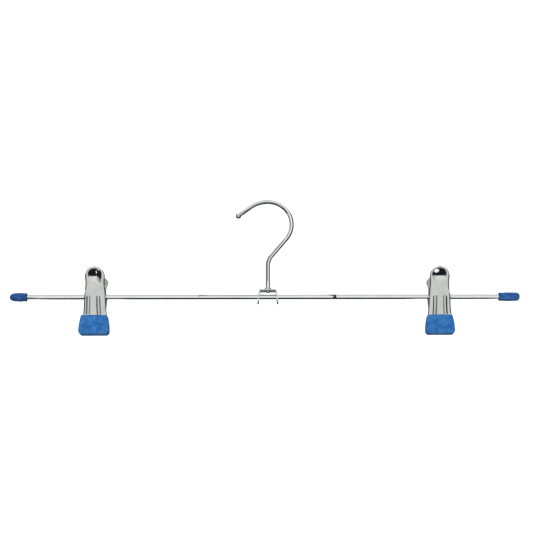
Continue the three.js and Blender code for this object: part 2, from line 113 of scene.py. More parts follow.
# Small differences between the two clips, in the pressing and in the dipped tips
Pressing = namedtuple("Pressing", "rib_drift dish_centre dish_half crease_lift crease_drop")
PRESSINGS = {
    "left": Pressing(rib_drift=-0.9, dish_centre=0.15, dish_half=5.6, crease_lift=0.55, crease_drop=2.3),
    "right": Pressing(rib_drift=0.0, dish_centre=-0.5, dish_half=5.9, crease_lift=0.7, crease_drop=0.0),
}
Tip = namedtuple("Tip", "half_width end offset front_seed rear_seed")
TIPS = {
    "left": Tip(half_width=12.15, end=TIP_END, offset=-0.3, front_seed=3.1, rear_seed=11.7),
    "right": Tip(half_width=11.65, end=TIP_END - 0.3, offset=-0.15, front_seed=8.1, rear_seed=16.7),
}


# Mesh helpers
def put(name, verts, faces, material, body=None, replaces=None, sharp=SHARP, shift=0.0):
    """A mesh from points in millimetres about the bar's axis, riding on a body."""
    weld = 1e-6
    mesh = bpy.data.meshes.new(name)
    mesh.from_pydata([((x + shift) * MM, y * MM, (z + BAR_Z) * MM) for x, y, z in verts], [], faces)
    mesh.validate()
    obj = bpy.data.objects.new(name, mesh)
    bpy.context.scene.collection.objects.link(obj)
    bm = bmesh.new()
    bm.from_mesh(mesh)
    bmesh.ops.remove_doubles(bm, verts=bm.verts, dist=weld)
    bmesh.ops.recalc_face_normals(bm, faces=bm.faces)
    bm.to_mesh(mesh)
    bm.free()
    shade(mesh, sharp)
    mesh.materials.append(material)
    if body:
        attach(obj, body)
    if replaces:
        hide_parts(replaces)
    return obj


def shade(mesh, sharp):
    """Smooth shading, except over edges that bend more than sharp degrees."""
    mesh.polygons.foreach_set("use_smooth", [True] * len(mesh.polygons))
    mesh.set_sharp_from_angle(angle=math.radians(sharp))


def grid_faces(rows, columns, base=0, closed=False, flip=False):
    faces = []
    for r in range(rows - 1):
        for k in range(columns if closed else columns - 1):
            a = base + r * columns + k
            b = base + r * columns + (k + 1) % columns
            face = (a, a + columns, b + columns, b)
            faces.append(face[::-1] if flip else face)
    return faces


def skinned(loops):
    """A body skinned over closed loops of points, with a flat face over each end."""
    columns = len(loops[0])
    verts = [tuple(p) for loop in loops for p in loop]
    faces = grid_faces(len(loops), columns, closed=True)
    faces.append(tuple(range(columns)))
    faces.append(tuple(range(len(verts) - columns, len(verts)))[::-1])
    return verts, faces


def two_skins(outer, inner):
    """A closed sheet from two grids of points, with strips along the sides and the ends."""
    rows, columns = len(outer), len(outer[0])
    verts = [p for row in outer for p in row] + [p for row in inner for p in row]
    size = rows * columns
    faces = grid_faces(rows, columns) + grid_faces(rows, columns, size, flip=True)
    for r in range(rows - 1):
        a, b = r * columns, (r + 1) * columns
        faces.append((a, a + size, b + size, b))
        a, b = a + columns - 1, b + columns - 1
        faces.append((a, b, b + size, a + size))
    last = (rows - 1) * columns
    for k in range(columns - 1):
        faces.append((k, k + 1, k + 1 + size, k + size))
        faces.append((last + k, last + k + size, last + k + 1 + size, last + k + 1))
    return verts, faces


def tube(points, radius, sides):
    """A round section swept along points, kept from twisting."""
    points = [Vector(p) for p in points]
    tangents = []
    for i in range(len(points)):
        before, after = points[max(i - 1, 0)], points[min(i + 1, len(points) - 1)]
        tangents.append((after - before).normalized())
    side = tangents[0].orthogonal().normalized()
    rings = []
    for i, (p, t) in enumerate(zip(points, tangents)):
        if i:
            side = tangents[i - 1].rotation_difference(t) @ side
        side = (side - t * side.dot(t)).normalized()
        up = t.cross(side)
        turns = (2 * math.pi * k / sides for k in range(sides))
        rings.append([p + (side * math.cos(a) + up * math.sin(a)) * radius for a in turns])
    return skinned(rings)


def lathe(profile, sides, place):
    """A profile of (radius, height) turned about an axis that place lays out."""
    verts = []
    for radius, height in profile:
        for k in range(sides):
            a = 2 * math.pi * k / sides
            verts.append(place(radius * math.cos(a), radius * math.sin(a), height))
    return verts, grid_faces(len(profile), sides, closed=True)


def rounded(points, radius, steps=4):
    """Rounds the inner corners of an open profile, over less than half of each side."""
    side_share = 0.45
    out = [points[0]]
    for before, at, after in zip(points, points[1:], points[2:]):
        a, b, c = Vector(before), Vector(at), Vector(after)
        r = min(radius, (a - b).length * side_share, (c - b).length * side_share)
        start, end = b + (a - b).normalized() * r, b + (c - b).normalized() * r
        for i in range(steps + 1):
            s = i / steps
            p = start * (1 - s) ** 2 + b * 2 * s * (1 - s) + end * s * s
            out.append((p.x, p.y))
    out.append(points[-1])
    return out


def rounded_box(half_width, near, far, radius, count=12, steps=5):
    """Points round a box with rounded corners: as wide each way in x, and from near to far in y."""
    least_flat = 0.01
    r = min(radius, (far - near) / 2 - least_flat, half_width - least_flat)
    flat = half_width - r
    quarter = [(flat * k / count, near) for k in range(count + 1)]
    for k in range(1, steps + 1):
        a = math.pi / 2 * k / steps
        quarter.append((flat + r * math.sin(a), near + r - r * math.cos(a)))
    for k in range(steps + 1):
        a = math.pi / 2 * k / steps
        quarter.append((flat + r * math.cos(a), far - r + r * math.sin(a)))
    quarter += [(flat * k / count, far) for k in range(count - 1, -1, -1)]
    return quarter + [(-x, y) for x, y in quarter[::-1]][1:-1]


def joined(*parts):
    verts, faces = [], []
    for v, f in parts:
        base = len(verts)
        verts += [tuple(p) for p in v]
        faces += [tuple(i + base for i in face) for face in f]
    return verts, faces


def drill(obj, radius, start, end, sharp=SHARP):
    """Cuts a round hole from start to end, both in millimetres about the bar's axis."""
    a, b = Vector(start), Vector(end)
    verts, faces = tube([a + (b - a) * s for s in (0, 0.5, 1)], radius, sides=48)
    cutter = put("cutter", verts, faces, obj.data.materials[0])
    mod = obj.modifiers.new("hole", "BOOLEAN")
    mod.operation, mod.solver, mod.object = "DIFFERENCE", "EXACT", cutter
    bpy.context.view_layer.update()
    mesh = bpy.data.meshes.new_from_object(obj.evaluated_get(bpy.context.evaluated_depsgraph_get()))
    obj.modifiers.remove(mod)
    obj.data = mesh
    bpy.data.objects.remove(cutter)
    shade(mesh, sharp)


def ease(s):
    """A soft step from 0 to 1."""
    c = min(max(s, 0.0), 1.0)
    return c * c * (3 - 2 * c)


def smooth_through(stations, height):
    """The value that passes smoothly, without overshoot, through (height, value) stations."""
    pts = sorted(stations)
    if height <= pts[0][0]:
        return pts[0][1]
    if height >= pts[-1][0]:
        return pts[-1][1]
    slopes = [(b[1] - a[1]) / (b[0] - a[0]) for a, b in zip(pts, pts[1:])]

    def tangent(i):
        if i == 0:
            return slopes[0]
        if i == len(pts) - 1:
            return slopes[-1]
        before, after = slopes[i - 1], slopes[i]
        return 0.0 if before * after <= 0 else 2 * before * after / (before + after)

    i = next(k for k in range(len(pts) - 1) if height <= pts[k + 1][0])
    span = pts[i + 1][0] - pts[i][0]
    s = (height - pts[i][0]) / span
    s2, s3 = s * s, s * s * s
    return (
        (2 * s3 - 3 * s2 + 1) * pts[i][1] + (s3 - 2 * s2 + s) * span * tangent(i)
        + (3 * s2 - 2 * s3) * pts[i + 1][1] + (s3 - s2) * span * tangent(i + 1)
    )


# Material helpers
def grey(value):
    return (value, value, value)


def empty_material(name):
    """A material with an output alone, its nodes and links, and the output's surface socket."""
    material = bpy.data.materials.new(name)
    material.use_nodes = True
    nodes, links = material.node_tree.nodes, material.node_tree.links
    nodes.clear()
    return material, nodes, links, nodes.new("ShaderNodeOutputMaterial").inputs["Surface"]


def new_material(name):
    material, nodes, links, surface = empty_material(name)
    shader = nodes.new("ShaderNodeBsdfPrincipled")
    links.new(shader.outputs["BSDF"], surface)
    return material, nodes, links, shader


def ramp(nodes, links, source, stops):
    node = nodes.new("ShaderNodeValToRGB")
    while len(node.color_ramp.elements) < len(stops):
        node.color_ramp.elements.new(0.5)
    for element, (at, colour) in zip(node.color_ramp.elements, stops):
        element.position = at
        element.color = (*colour, 1)
    links.new(source, node.inputs["Fac"])
    return node.outputs["Color"]


def cloudy(nodes, links, scale, stretch=(1, 1, 1), **values):
    """Noise with scale cells to a metre, drawn out along an axis where stretch is below 1."""
    coords = nodes.new("ShaderNodeTexCoord")
    mapping = nodes.new("ShaderNodeMapping")
    mapping.inputs["Scale"].default_value = stretch
    links.new(coords.outputs["Object"], mapping.inputs["Vector"])
    node = nodes.new("ShaderNodeTexNoise")
    links.new(mapping.outputs["Vector"], node.inputs["Vector"])
    node.inputs["Scale"].default_value = scale
    for key, value in values.items():
        node.inputs[key].default_value = value
    return node.outputs[0]


def bump(nodes, links, height, strength, distance, under=None):
    node = nodes.new("ShaderNodeBump")
    node.inputs["Strength"].default_value = strength
    node.inputs["Distance"].default_value = distance
    links.new(height, node.inputs["Height"])
    if under:
        links.new(under, node.inputs["Normal"])
    return node.outputs["Normal"]


def mixed(nodes, links, factor, first, second):
    node = nodes.new("ShaderNodeMixShader")
    links.new(factor, node.inputs["Fac"])
    links.new(first, node.inputs[1])
    links.new(second, node.inputs[2])
    return node.outputs[0]


def light_path(nodes, links):
    """Two values: 1 for what the camera sees itself, and 1 for what it sees in gloss or glass."""
    path = nodes.new("ShaderNodeLightPath")
    mirrored = nodes.new("ShaderNodeMath")
    mirrored.operation = "MAXIMUM"
    links.new(path.outputs["Is Glossy Ray"], mirrored.inputs[0])
    links.new(path.outputs["Is Transmission Ray"], mirrored.inputs[1])
    return path.outputs["Is Camera Ray"], mirrored.outputs[0]


# Materials of the hanger: scales in cells to a metre, depths of bump in metres
BLOOM_SCALE = 140
POLISH_SCALE, POLISH_DEPTH = 1400, 0.00004
WAVE_SCALE, WAVE_DEPTH = 170, 0.0002
# Shallow dents in the vinyl, whose noise also paints shade into them
DENT_SCALE, DENT_DEPTH = 260, 0.0006
MOTTLE_SCALE = DENT_SCALE * 2.2
PIT_SCALE, PIT_DEPTH = 2600, 0.00006


def plated(name, colour, dull, rough, stretch, scratch, wave=0.0):
    """Bright plate: a faint bloom in its colour, fine polish lines, and a slow wave in the metal."""
    material, nodes, links, shader = new_material(name)
    low, high = rough
    shader.inputs["Metallic"].default_value = 1.0
    bloom = cloudy(nodes, links, BLOOM_SCALE, Detail=5.0)
    links.new(ramp(nodes, links, bloom, [(0.34, dull), (0.6, colour)]), shader.inputs["Base Color"])
    lines = cloudy(nodes, links, POLISH_SCALE, stretch, Detail=3.0)
    roughness = ramp(nodes, links, lines, [(0.32, grey(low)), (0.7, grey(high))])
    links.new(roughness, shader.inputs["Roughness"])
    normal = bump(nodes, links, lines, scratch, POLISH_DEPTH)
    if wave:
        swell = cloudy(nodes, links, WAVE_SCALE, Detail=1.0)
        normal = bump(nodes, links, swell, wave, WAVE_DEPTH, normal)
    links.new(normal, shader.inputs["Normal"])
    return material


def dipped(name, colour, deep, dent_shade, stretch):
    """Dipped soft vinyl: uneven colour, darker patches painted as shade into the shallow dents of its
    bump, a fine skin and a soft gloss.
    """
    material, nodes, links, shader = new_material(name)
    shader.inputs["Specular IOR Level"].default_value = 0.28
    cloud = cloudy(nodes, links, MOTTLE_SCALE, stretch, Detail=5.0, Roughness=0.62)
    mottle = ramp(nodes, links, cloud, [(0.36, deep), (0.64, colour)])
    # Painted shade: one noise dents the bump and darkens the colour in its dents
    dent_noise = cloudy(nodes, links, DENT_SCALE, stretch, Detail=2.0)
    shadow = ramp(nodes, links, dent_noise, [(0.4, dent_shade), (0.56, grey(1))])
    mix = nodes.new("ShaderNodeMix")
    mix.data_type, mix.blend_type = "RGBA", "MULTIPLY"
    factor, first, second, result = mix.inputs[0], mix.inputs[6], mix.inputs[7], mix.outputs[2]
    factor.default_value = 1.0
    links.new(mottle, first)
    links.new(shadow, second)
    links.new(result, shader.inputs["Base Color"])
    skin = cloudy(nodes, links, PIT_SCALE, Detail=3.0)
    roughness = ramp(nodes, links, skin, [(0.3, grey(0.38)), (0.75, grey(0.54))])
    links.new(roughness, shader.inputs["Roughness"])
    pits = bump(nodes, links, skin, strength=0.25, distance=PIT_DEPTH)
    dents = bump(nodes, links, dent_noise, strength=0.5, distance=DENT_DEPTH, under=pits)
    links.new(dents, shader.inputs["Normal"])
    return material


bar_plate = plated(
    "bar_plate", colour=(0.86, 0.87, 0.87), dull=(0.8, 0.81, 0.81), rough=(0.03, 0.07),
    stretch=(0.03, 1, 1), scratch=0.08,
)
wire_plate = plated(
    "wire_plate", colour=(0.88, 0.885, 0.89), dull=(0.82, 0.83, 0.835), rough=(0.03, 0.07),
    stretch=(1, 1, 1), scratch=0.05,
)
strip_plate = plated(
    "strip_plate", colour=(0.74, 0.75, 0.755), dull=(0.67, 0.68, 0.69), rough=(0.07, 0.15),
    stretch=(1, 0.2, 1), scratch=0.12,
)
leaf_plate = plated(
    "leaf_plate", colour=(0.675, 0.688, 0.663), dull=(0.61, 0.62, 0.6), rough=(0.035, 0.09),
    stretch=(1, 1, 0.06), scratch=0.1, wave=0.06,
)
spring_plate = plated(
    "spring_plate", colour=(0.55, 0.55, 0.54), dull=(0.45, 0.45, 0.44), rough=(0.18, 0.3),
    stretch=(1, 1, 1), scratch=0.2,
)
# dent_shade is the tint of the shade painted into the vinyl's dents
tip_vinyl = dipped(
    "tip_vinyl", colour=(0.036, 0.2, 0.49), deep=(0.018, 0.13, 0.385), dent_shade=(0.4, 0.68, 0.84),
    stretch=(0.7, 1, 1),
)
cap_vinyl = dipped(
    "cap_vinyl", colour=(0.04, 0.17, 0.46), deep=(0.01, 0.06, 0.23), dent_shade=(0.4, 0.5, 0.62),
    stretch=(0.35, 1, 1),
)


# Hook
def bent_route(start, heading, pieces, step):
    """Points along straight runs and arcs in the X-Z plane, and the last heading."""
    x, z = start
    points = [(x, 0, z)]
    for kind, size, radius in pieces:
        if kind == "run":
            count = max(2, round(size / step))
            for i in range(1, count + 1):
                d = size * i / count
                points.append((x + d * math.cos(heading), 0, z + d * math.sin(heading)))
        else:
            side = math.copysign(1, size)
            count = max(4, round(abs(size) * radius / step))
            for i in range(1, count + 1):
                turned = heading + size * i / count
                points.append((
                    x + side * radius * (math.sin(turned) - math.sin(heading)),
                    0,
                    z - side * radius * (math.cos(turned) - math.cos(heading)),
                ))
            heading += size
        x, _, z = points[-1]
    return points, heading


def make_hook():
    """A drawn wire with a riveted foot under the bracket's web, a collar over it, and a ball.

    The bowl, the brow before the ball and the ankle over the collar are given by their bend radii,
    the bowl's centre by its rise over the bar, and the throat by its lean.
    """
    bowl, rise, brow, ankle = 19.6, 62.0, 24.2, 13.2
    throat, brow_turn, end_run = math.radians(39.4), math.radians(37.5), 8.9
    rod_radius, rod_step = 1.74, 0.6
    collar, collar_height, buried = 2.8, 1.3, 0.5
    head, head_depth, shank = 2.15, 0.95, 1.5
    ball, neck = 2.35, 1.42
    ball_start, ball_sweep, ball_steps, ball_height_share = -52, 142, 14, 0.97

    collar_bottom = WEB_TOP + CLEARANCE
    collar_top = collar_bottom + collar_height
    head_top = WEB_TOP - STRIP_THICKNESS - CLEARANCE
    heading = math.pi / 2 - throat
    tangent_x, tangent_z = bowl * math.sin(heading), rise - bowl * math.cos(heading)
    ankle_z = tangent_z - tangent_x * math.tan(heading)
    ankle_run = ankle * math.tan(throat / 2)
    throat_length = math.hypot(tangent_x, tangent_z - ankle_z)
    route, end = bent_route((0, collar_top - buried), math.pi / 2, [
        ("run", ankle_z - ankle_run - collar_top + buried, 0),
        ("turn", -throat, ankle),
        ("run", throat_length - ankle_run, 0),
        ("turn", math.pi - heading, bowl),
        ("turn", brow_turn, brow),
        ("run", end_run, 0),
    ], rod_step)
    rod = tube(route, rod_radius, sides=40)

    foot = rounded([
        (0, head_top - head_depth), (1.1, head_top - head_depth + 0.02), (head - 0.3, head_top - 0.6),
        (head, head_top), (shank, head_top), (shank, collar_bottom), (collar, collar_bottom),
        (collar, collar_top - 0.4), (collar - 0.5, collar_top), (WIRE_RADIUS, collar_top + 0.2),
        (0, collar_top + 0.2),
    ], radius=0.35)
    base = lathe(foot, sides=48, place=lambda u, v, h: (u, v, h))

    away = Vector((math.cos(end), 0, math.sin(end)))
    side = Vector((0, 1, 0))
    other = away.cross(side)
    tip = Vector(route[-1])
    knob_profile = [
        (WIRE_RADIUS, -0.3), (WIRE_RADIUS - 0.02, 0.0), (neck + 0.08, 0.25), (neck, 0.6),
        (neck + 0.08, 0.9),
    ]
    centre = 1.0 + ball * 0.8
    for i in range(ball_steps + 1):
        a = math.radians(ball_start + ball_sweep * i / ball_steps)
        knob_profile.append((ball * math.cos(a), centre + ball * math.sin(a) * ball_height_share))
    knob_profile[-1] = (0, knob_profile[-1][1])
    knob = lathe(
        knob_profile, sides=40, place=lambda u, v, h: tuple(tip + side * u + other * v + away * h)
    )

    verts, faces = joined(rod, base, knob)
    put("hook_wire", verts, faces, wire_plate, "hook", "hook", sharp=50)


# Bracket
def make_bracket():
    """One strip with eased edges, bent to a stirrup, each leg ending in a half round."""
    bend, edge, end_least, hook_hole = 1.15, 0.26, 0.3, 1.8
    flat_steps, bend_steps, leg_steps, end_steps = 10, 10, 8, 14
    past_legs, past_web = 14, 12

    half_thick, half_strip = STRIP_THICKNESS / 2, STRIP_WIDTH / 2
    web_z = WEB_TOP - half_thick
    half_turn = math.pi / 2 - LEG_SPLAY
    flat = WEB_HALF_WIDTH - half_thick - bend
    arc = bend * half_turn
    start_x, start_z = flat + bend * math.sin(half_turn), web_z - bend * (1 - math.cos(half_turn))
    run = (start_z + LEG_REACH) / math.sin(half_turn)
    total = flat + arc + run
    stations = [flat * k / flat_steps for k in range(flat_steps + 1)]
    stations += [flat + arc * k / bend_steps for k in range(1, bend_steps + 1)]
    stations += [flat + arc + (run - half_strip) * k / leg_steps for k in range(1, leg_steps + 1)]
    for k in range(1, end_steps + 1):
        stations.append(total - half_strip * (1 - math.sin(math.pi / 2 * k / end_steps)))
    halves = []
    for s in stations:
        if s <= flat:
            x, z, turn = s, web_z, 0.0
        elif s <= flat + arc:
            turn = (s - flat) / bend
            x, z = flat + bend * math.sin(turn), web_z - bend * (1 - math.cos(turn))
        else:
            d, turn = s - flat - arc, half_turn
            x, z = start_x + d * math.cos(half_turn), start_z - d * math.sin(half_turn)
        left = total - s
        half = half_strip
        if left < half_strip:
            half = max(math.sqrt(max(half_strip ** 2 - (half_strip - left) ** 2, 0.0)), end_least)
        loop = []
        for across, off in rounded_box(half, -half_thick, half_thick, edge, count=8, steps=4):
            loop.append((x + math.sin(turn) * off, across, z + math.cos(turn) * off))
        halves.append(loop)
    mirrored = [[(-x, y, z) for x, y, z in loop] for loop in halves[:0:-1]]
    verts, faces = skinned(mirrored + halves)
    bracket = put("bracket_strip", verts, faces, strip_plate, "frame", "bracket")
    drill(bracket, BORE, (-past_legs, 0, 0), (past_legs, 0, 0))
    drill(bracket, hook_hole, (0, 0, 0), (0, 0, past_web))


# Bar and end caps
def make_bar():
    chamfer, rounding, even = 0.3, 0.2, 60
    left, right, radius = BAR_LEFT, BAR_RIGHT, BAR_RADIUS
    profile = rounded([
        (0, left), (radius - chamfer, left), (radius, left + chamfer), (radius, left + even),
        (radius, right - even), (radius, right - chamfer), (radius - chamfer, right), (0, right),
    ], rounding)
    verts, faces = lathe(profile, sides=48, place=lambda u, v, h: (h, u, v))
    put("round_bar", verts, faces, bar_plate, "frame", "bar")


def make_cap(name, bar_end, sign, length, nose, grip, square):
    """A soft sleeve: a rolled mouth, a barely swollen body and a rounded nose."""
    lining, lining_end = BAR_RADIUS + 0.02, BORE - 0.1
    roll, roll_centre = 0.72, 2.72
    body, pinch, belly, nose_radius = 3.42, 0.12, 0.16, 3.4
    roll_steps, body_steps, nose_steps = 8, 9, 16
    uneven_share, inner = 0.018, 2.4

    mouth = bar_end - grip
    rolled, tip = mouth + roll, mouth + length
    start = tip - nose
    profile = [
        (1.0, bar_end + 0.3), (lining_end, bar_end + 0.1), (lining, bar_end - 0.6),
        (lining, mouth + 0.9),
    ]
    for i in range(roll_steps + 1):
        a = math.pi * i / roll_steps
        profile.append((roll_centre - roll * math.cos(a), rolled - roll * math.sin(a)))
    for i in range(1, body_steps):
        s = i / body_steps
        radius = body - pinch * math.sin(math.pi * min(s * 2.2, 1))
        if s > 0.3:
            radius += belly * math.sin(math.pi * s)
        profile.append((radius, rolled + (start - rolled) * s))
    for i in range(nose_steps + 1):
        a = math.pi / 2 * i / nose_steps
        profile.append((nose_radius * math.cos(a) ** square, start + nose * math.sin(a) ** square))
    profile[-1] = (0, tip)
    verts, faces = lathe(profile, sides=40, place=lambda u, v, h: (h * sign, u, v))
    moved = []
    for x, y, z in verts:
        swell = noise.noise(Vector((x * 0.22, y * 0.3, z * 0.3)) + Vector((0, 0, 7 * sign)))
        k = 1 + (uneven_share * swell if math.hypot(y, z) > inner else 0)
        moved.append((x, y * k, z * k))
    put(name + "_sleeve", moved, faces, cap_vinyl, "frame", name, sharp=60)


# Clip leaves: one pressing for both halves, the rear one with its cheeks nested in the front one's
def leaf_half_width(cheek, z):
    nested = CHEEK - cheek
    return smooth_through([
        (DOME_RISE, DOME_RADIUS), (WAIST_RISE, WAIST - nested * 0.6), (0, cheek),
        (-SHOULDER_DROP, SHOULDER - nested), (-(TIP_MOUTH + SHEET), (SHOULDER + GRIP) / 2),
        (-(TIP_MOUTH + TIP_END) / 2, GRIP), (-JAW_DROP, JAW),
    ], z)


def leaf_out(z):
    """How far the face stands out from the bar's axis: a straight handle over a curved blade."""
    if z >= KNEE_RISE:
        return KNEE_OUT + (z - KNEE_RISE) * math.tan(HANDLE_LEAN)
    return smooth_through([
        (KNEE_RISE, KNEE_OUT), (0, FACE_AT_BAR), (-3.6, 6.4), (-12, 3.4), (-15.2, GRIP_OUT),
        (-JAW_DROP, GRIP_OUT),
    ], z)


def leaf_rim(z):
    """Depth of the rim, which swells to a cheek round the bar."""
    low, reach = (UPPER_RIM, UPPER_SWELL) if z > 0 else (LOWER_RIM, LOWER_SWELL)
    swell = math.cos(min(abs(z) / reach, 1) * math.pi / 2) ** 2
    return low + (FACE_AT_BAR + CHEEK_PAST - low) * swell


def dish_depth(x, z, pressing):
    """A thumb dish: a ramp in from the upper arc to a crease, then a long gentle return."""
    drop_start, drop_width, drop_depth_share = 0.9, 1.9, 0.2
    side_power, top_power, ramp_bow, return_power, gentle_rate = 2.3, 0.43, 0.15, 1.3, 1.8
    off = x - pressing.dish_centre
    across = abs(off) / pressing.dish_half
    if across >= 1:
        return 0.0
    drop = pressing.crease_drop * ease((off - drop_start) / drop_width)
    arch = (1 - across ** side_power) ** top_power
    up = (z - DOME_RISE) / math.cos(HANDLE_LEAN) - pressing.crease_lift + drop
    s = up / (DISH_RISE * arch + drop) if up >= 0 else -up / (DISH_FALL * arch)
    if s >= 1:
        return 0.0
    if up >= 0:
        share = 1 - (1 + ramp_bow) * s + ramp_bow * s * s
    else:
        share = (1 - s) ** return_power
        gentle = max(0.0, 1 - (x / DISH_END) ** 2)
        arch += (gentle - arch) * min(s * gentle_rate, 1)
    return (DISH_DEPTH + drop * drop_depth_share) * arch * share


def rib_height(x, z, centre):
    """A flat-topped flute with soft flanks, which fades out at its start and its foot."""
    across = abs(abs(x) - centre)
    fade = ease((-z - RIB_START) / RIB_START_FADE) * ease((z + RIB_FOOT) / RIB_FOOT_FADE)
    return RIB_HEIGHT * (1 - ease((across - RIB_FLAT) / RIB_FLANK)) * fade


def leaf_columns():
    """Where the points of a row lie, as shares of the face's half width, closest at the flutes."""
    inside_steps, rib_steps, outside_steps, margin = 6, 26, 5, 0.06
    centre, half = RIB_OFFSET / (CHEEK - RIM_RADIUS), RIB_HALF / (CHEEK - RIM_RADIUS)
    low, high = centre - half - margin, centre + half + margin
    half_row = [low * k / inside_steps for k in range(inside_steps)]
    half_row += [low + (high - low) * k / rib_steps for k in range(rib_steps + 1)]
    half_row += [high + (1 - high) * k / outside_steps for k in range(1, outside_steps + 1)]
    return [-s for s in half_row[:0:-1]] + half_row


def leaf_rows(crease_lift):
    """Rows as a height and a turn round the dome, with one row exactly on the dish's crease."""
    dome_steps, handle_steps, rib_steps, jaw_steps = 25, 34, 46, 6
    crease = math.asin(crease_lift / (DOME_RADIUS - RIM_RADIUS))
    above = [crease + (math.pi / 2 - crease) * i / dome_steps for i in range(dome_steps, 0, -1)]
    rows = [(DOME_RISE, turn) for turn in above + [crease, crease / 2]]
    rows += [(DOME_RISE * i / handle_steps, 0.0) for i in range(handle_steps, 0, -1)]
    rows += [(-RIB_FOOT * i / rib_steps, 0.0) for i in range(rib_steps)]
    rows += [(-RIB_FOOT - (JAW_DROP - RIB_FOOT) * i / jaw_steps, 0.0) for i in range(jaw_steps + 1)]
    return rows


def leaf_skin(cheek, row, grown, shares, pressing):
    """One row of a skin, from rim to rim, set grown millimetres out from the leaf's outer face."""
    bend_steps, edge_fade = 5, 12
    z0, turn = row
    width = DOME_RADIUS if turn > 0 else leaf_half_width(cheek, z0)
    c, s = math.cos(turn), math.sin(turn) * math.cos(HANDLE_LEAN)
    reach = width - RIM_RADIUS
    zf, edge_z = z0 + reach * s, z0 + width * s
    lean = math.atan((leaf_out(zf + SHEET) - leaf_out(zf - SHEET)) / (2 * SHEET))
    out = leaf_out(zf) + grown / math.cos(lean)
    centre = RIB_OFFSET * reach / (CHEEK - RIM_RADIUS)
    face = []
    for share in shares:
        x = share * reach * c
        fade = min((1 - abs(share)) * edge_fade, 1)
        relief = rib_height(x - pressing.rib_drift, zf, centre) - dish_depth(x, zf, pressing)
        face.append((x, -(out + fade * relief), zf))
    bend = RIM_RADIUS + grown
    right = []
    for k in range(1, bend_steps + 1):
        a = math.pi / 2 * k / bend_steps
        r = reach + bend * math.sin(a)
        right.append((r * c, -(leaf_out(z0 + r * s) - RIM_RADIUS + bend * math.cos(a)), z0 + r * s))
    bend_out = leaf_out(edge_z) - RIM_RADIUS
    rim_out = leaf_out(edge_z) - leaf_rim(edge_z)
    r = width + grown
    for share in (0.33, 0.66, 1.0):
        right.append((r * c, -(bend_out + (rim_out - bend_out) * share), z0 + r * s))
    return [(-x, y, z) for x, y, z in right[::-1]] + face + right


def turned_round(points):
    return [(-x, -y, z) for x, y, z in points]


def make_leaf(name, cheek, x, body, back, pressing):
    """A pressing of two skins with a bore through both cheeks; back turns it to face away."""
    past_cheeks = 12
    shares, rows = leaf_columns(), leaf_rows(pressing.crease_lift)
    outer = [leaf_skin(cheek, row, 0.0, shares, pressing) for row in rows]
    inner = [leaf_skin(cheek, row, -SHEET, shares, pressing) for row in rows]
    verts, faces = two_skins(outer, inner)
    if back:
        verts = turned_round(verts)
    leaf = put(name + "_pressing", verts, faces, leaf_plate, body, name, shift=x)
    drill(leaf, BORE, (x - past_cheeks, 0, 0), (x + past_cheeks, 0, 0), sharp=30)


# Jaw tips
def make_tip(name, x, body, back, tip, seed):
    """A dipped sleeve with a rolled mouth, rounded ends, one dent and a faintly uneven skin."""
    face, inside, mouth, corner = -4.2, -0.15, -TIP_MOUTH, 2.7
    roll, thinned, blunted = 0.8, 0.85, 1.1
    roll_steps, side_steps, corner_steps = 6, 26, 14
    dent, dent_x, dent_z, dent_spread = 0.34, 0.3, -26.6, 4.5
    uneven, uneven_half, uneven_fade, wavy = 0.12, 11.2, 2.0, 0.16

    widths = [
        (mouth, tip.half_width - 1.75), (mouth - 4, tip.half_width - 0.85),
        (mouth - 11, tip.half_width - 0.05), (-tip.end, tip.half_width),
    ]
    loops = []

    def add(z, narrower=0.0, thinner=0.0, edge=1.1):
        half_width = smooth_through(widths, z) - narrower
        box = rounded_box(half_width, face + thinner, inside - thinner * 0.6, edge, count=14)
        loops.append([(px, py, z) for px, py in box])

    # Two rings inside the mouth, its roll, the straight sides and the rounded end
    add(mouth - 1.1, narrower=1.1, thinner=1.15, edge=0.7)
    add(mouth - 0.35, narrower=1.05, thinner=1.1, edge=0.8)
    for k in range(roll_steps + 1):
        a = math.pi / 2 * k / roll_steps
        left = 1 - math.sin(a)
        add(mouth - roll * (1 - math.cos(a)), roll * left, thinned * left, edge=0.95)
    straight = tip.end + mouth - roll - corner
    for k in range(1, side_steps + 1):
        add(mouth - roll - straight * k / side_steps)
    for k in range(1, corner_steps + 1):
        a = math.pi / 2 * k / corner_steps
        blunt = blunted * (1 - math.sqrt(max(0.0, 1 - (k / corner_steps) ** 5)))
        add(-tip.end + corner * (1 - math.sin(a)), corner * (1 - math.cos(a)), blunt)
    verts, faces = skinned(loops)
    moved = []
    for px, py, pz in verts:
        if pz < mouth - 0.3 and py < -2.0:
            pressed = dent * math.exp(-((px - dent_x) ** 2 + (pz - dent_z) ** 2) / dent_spread)
            middle = min(max((uneven_half - abs(px)) / uneven_fade, 0.0), 1.0)
            drift = uneven * noise.noise(Vector((px * 0.3, pz * 0.3, seed)))
            py = max(py + pressed + drift * middle, face)
        if pz > mouth - 1.0:
            pz += wavy * noise.noise(Vector((px * 0.35, seed, py * 0.2)))
        moved.append((px, py, pz))
    if back:
        moved = turned_round(moved)
    at = x + tip.offset
    put(name + "_sleeve", moved, faces, tip_vinyl, body, name, sharp=55, shift=at)


